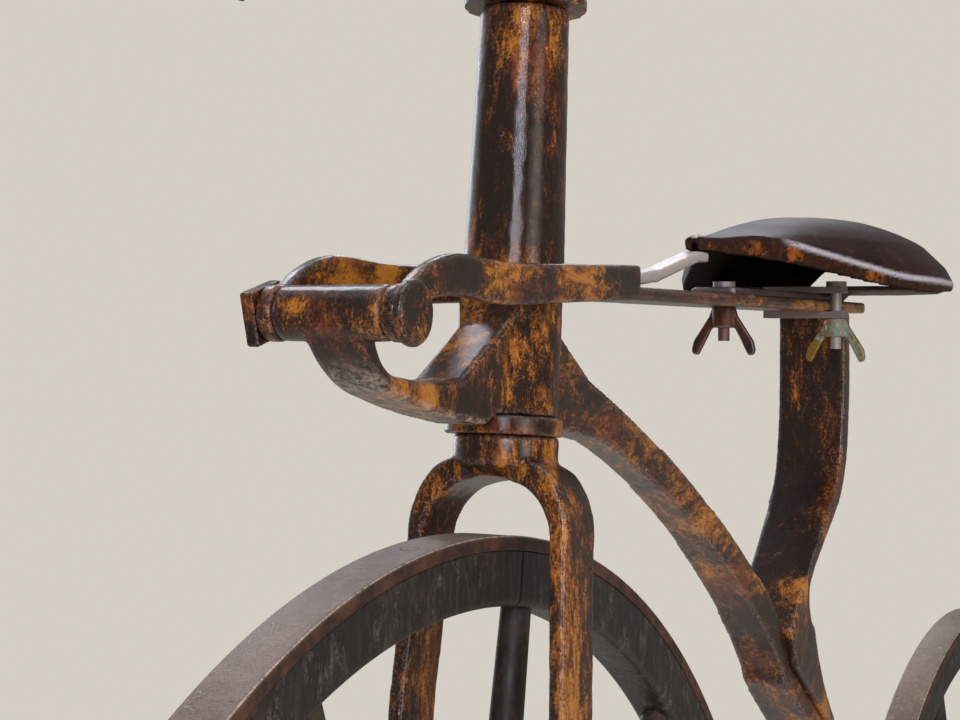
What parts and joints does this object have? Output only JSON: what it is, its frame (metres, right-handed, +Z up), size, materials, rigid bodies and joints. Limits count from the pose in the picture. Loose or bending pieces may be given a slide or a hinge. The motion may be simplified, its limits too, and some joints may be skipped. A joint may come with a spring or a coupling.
{
  "type": "velocipede",
  "caption": "Front-pedalled velocipede: iron-tyred wooden wheels, steering fork on a diagonal iron backbone, and a leather saddle on a long leaf spring.",
  "frame": {"origin": "the rider's place on top of the saddle, over the middle plane", "axes": "+X forward, +Y to the vehicle's left, +Z up"},
  "size_m": [1.8773, 0.4932, 1.2556],
  "materials": {
    "worn_paint": "dark varnish worn to amber and red brown",
    "bare_iron": "dark browned iron",
    "iron_tyre": "dull worn iron",
    "black_wood": "worn black paint on wood",
    "turned_wood": "oiled dark wood",
    "old_brass": "tarnished with verdigris",
    "saddle_leather": "old polished leather"
  },
  "bodies": {
    "frame": {"steering_head": "worn_paint", "backbone": "worn_paint", "seat_pillar": "worn_paint", "spring_yoke": "worn_paint", "yoke_bolt": "worn_paint", "yoke_nut": "worn_paint", "saddle_spring": "worn_paint", "saddle_iron": "bare_iron", "saddle_leather": "saddle_leather", "rear_clamp_plates": "bare_iron", "front_clamp_bolts": "bare_iron", "front_wing_nuts": "bare_iron", "rear_clamp_bolts": "bare_iron", "rear_wing_nuts": "old_brass", "rear_axle": "bare_iron", "rear_axle_nuts": "bare_iron"},
    "fork": {"fork": "worn_paint", "head_race": "worn_paint", "steering_stem": "worn_paint", "head_cap": "worn_paint", "handlebar_lug": "worn_paint", "handlebar": "worn_paint", "grip_left": "turned_wood", "grip_right": "turned_wood", "ferrule_left": "old_brass", "ferrule_right": "old_brass"},
    "front_wheel": {"front_tyre": "iron_tyre", "front_felloe": "black_wood", "front_spokes": "black_wood", "front_hub": "black_wood", "front_hub_bands": "bare_iron", "front_axle": "bare_iron", "crank_left": "bare_iron", "crank_right": "bare_iron"},
    "pedal_left": {"pedal_left": "old_brass"},
    "pedal_right": {"pedal_right": "old_brass"},
    "rear_wheel": {"rear_tyre": "iron_tyre", "rear_felloe": "black_wood", "rear_spokes": "black_wood", "rear_hub": "black_wood", "rear_hub_bands": "bare_iron"}
  },
  "joints": [
    {"name": "steering", "type": "hinge", "parent": "frame", "child": "fork", "pos_m": [0.4492, 0, -0.1325], "axis": [-0.0807, 0, 0.9967], "range_deg": [-45, 45]},
    {"name": "front_wheel_spin", "type": "hinge", "parent": "fork", "child": "front_wheel", "pos_m": [0.51019, 0, -0.65343], "axis": [0, 1, 0], "continuous": true},
    {"name": "pedal_left_spin", "type": "hinge", "parent": "front_wheel", "child": "pedal_left", "pos_m": [0.66019, 0, -0.65343], "axis": [0, 1, 0], "continuous": true},
    {"name": "pedal_right_spin", "type": "hinge", "parent": "front_wheel", "child": "pedal_right", "pos_m": [0.36019, 0, -0.65343], "axis": [0, 1, 0], "continuous": true},
    {"name": "rear_wheel_spin", "type": "hinge", "parent": "frame", "child": "rear_wheel", "pos_m": [-0.53001, 0, -0.73063], "axis": [0, 1, 0], "continuous": true}
  ]
}
